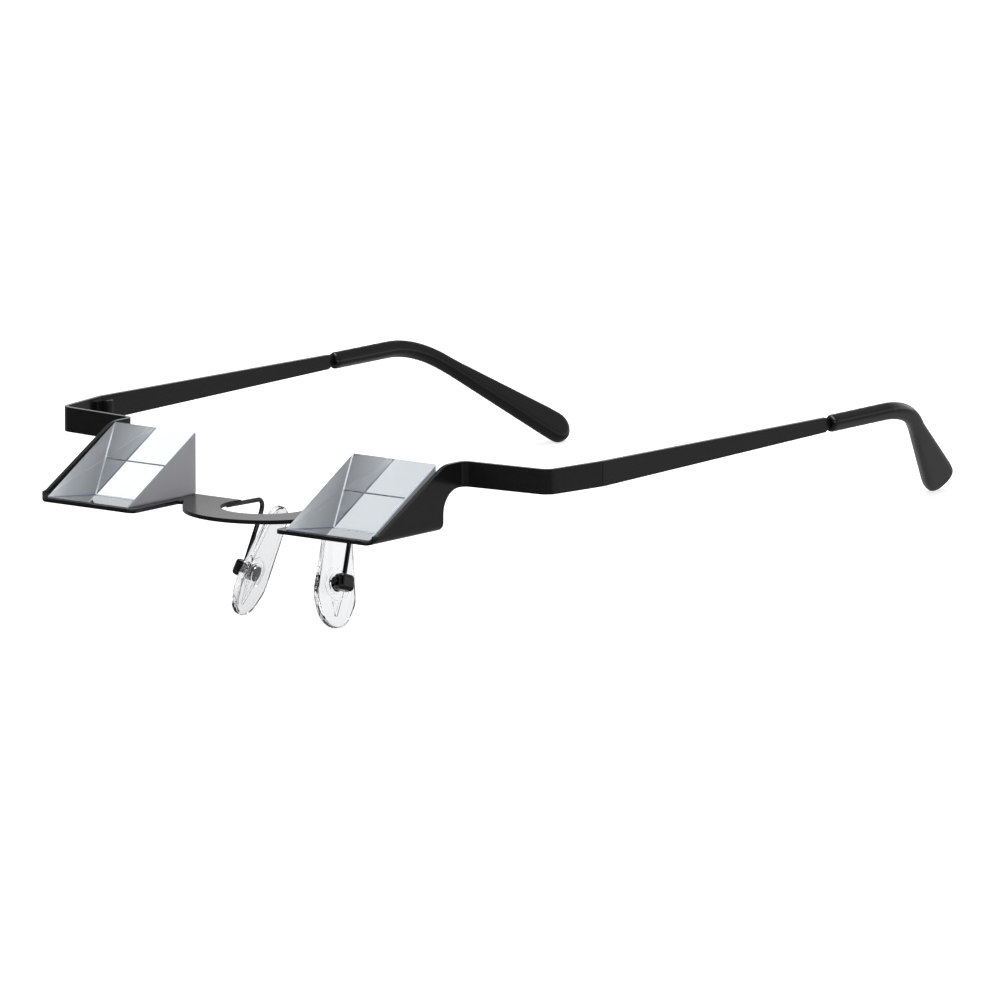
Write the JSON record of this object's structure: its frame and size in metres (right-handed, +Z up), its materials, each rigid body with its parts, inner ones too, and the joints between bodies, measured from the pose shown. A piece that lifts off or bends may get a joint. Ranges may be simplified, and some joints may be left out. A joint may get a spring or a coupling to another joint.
{
  "type": "prism glasses",
  "caption": "Glasses with a bent sheet-metal front that carries two right-angled prisms, folding temples with moulded tips, and clear nose pads on wire arms.",
  "frame": {"origin": "centre of the bottom of the bounding box, on the table that the nose pads and the temple tips rest on", "axes": "+X to the wearer's left, +Y back towards the ears, +Z up from the table"},
  "size_m": [0.1396, 0.1914, 0.0394],
  "materials": {
    "frame_paint": "satin black",
    "prism_glass": "polished faces, ground ends",
    "tip_plastic": "glossy black",
    "pad_pvc": "clear soft moulded",
    "insert_metal": "bright",
    "screw_steel": "bright"
  },
  "bodies": {
    "front": {"frame_front": "frame_paint", "left_prism": "prism_glass", "right_prism": "prism_glass", "left_hinge_front_leaf": "frame_paint", "right_hinge_front_leaf": "frame_paint", "left_nose_pad_wire": "frame_paint", "right_nose_pad_wire": "frame_paint", "left_nose_pad_box": "frame_paint", "right_nose_pad_box": "frame_paint", "hinge_screws": "screw_steel", "nose_pad_screws": "screw_steel"},
    "left_temple": {"left_temple_arm": "frame_paint", "left_hinge_temple_leaf": "frame_paint", "left_temple_tip": "tip_plastic"},
    "left_pad": {"left_nose_pad": "pad_pvc", "left_nose_pad_insert": "insert_metal"},
    "right_temple": {"right_temple_arm": "frame_paint", "right_hinge_temple_leaf": "frame_paint", "right_temple_tip": "tip_plastic"},
    "right_pad": {"right_nose_pad": "pad_pvc", "right_nose_pad_insert": "insert_metal"}
  },
  "joints": [
    {"name": "left_temple_fold", "type": "hinge", "parent": "front", "child": "left_temple", "pos_m": [0.06602, -0.04663, 0.03478], "axis": [0, 0.0726, 0.9974], "range_deg": [0, 90]},
    {"name": "right_temple_fold", "type": "hinge", "parent": "front", "child": "right_temple", "pos_m": [-0.06602, -0.04663, 0.03478], "axis": [0, -0.0726, -0.9974], "range_deg": [0, 85]},
    {"name": "left_pad_rock", "type": "hinge", "parent": "front", "child": "left_pad", "pos_m": [0.0132, -0.06682, 0.00953], "axis": [0.1698, 0.9115, -0.3747], "range_deg": [-10, 10]},
    {"name": "right_pad_rock", "type": "hinge", "parent": "front", "child": "right_pad", "pos_m": [-0.0132, -0.06682, 0.00953], "axis": [0.1698, -0.9115, 0.3747], "range_deg": [-10, 10]}
  ]
}
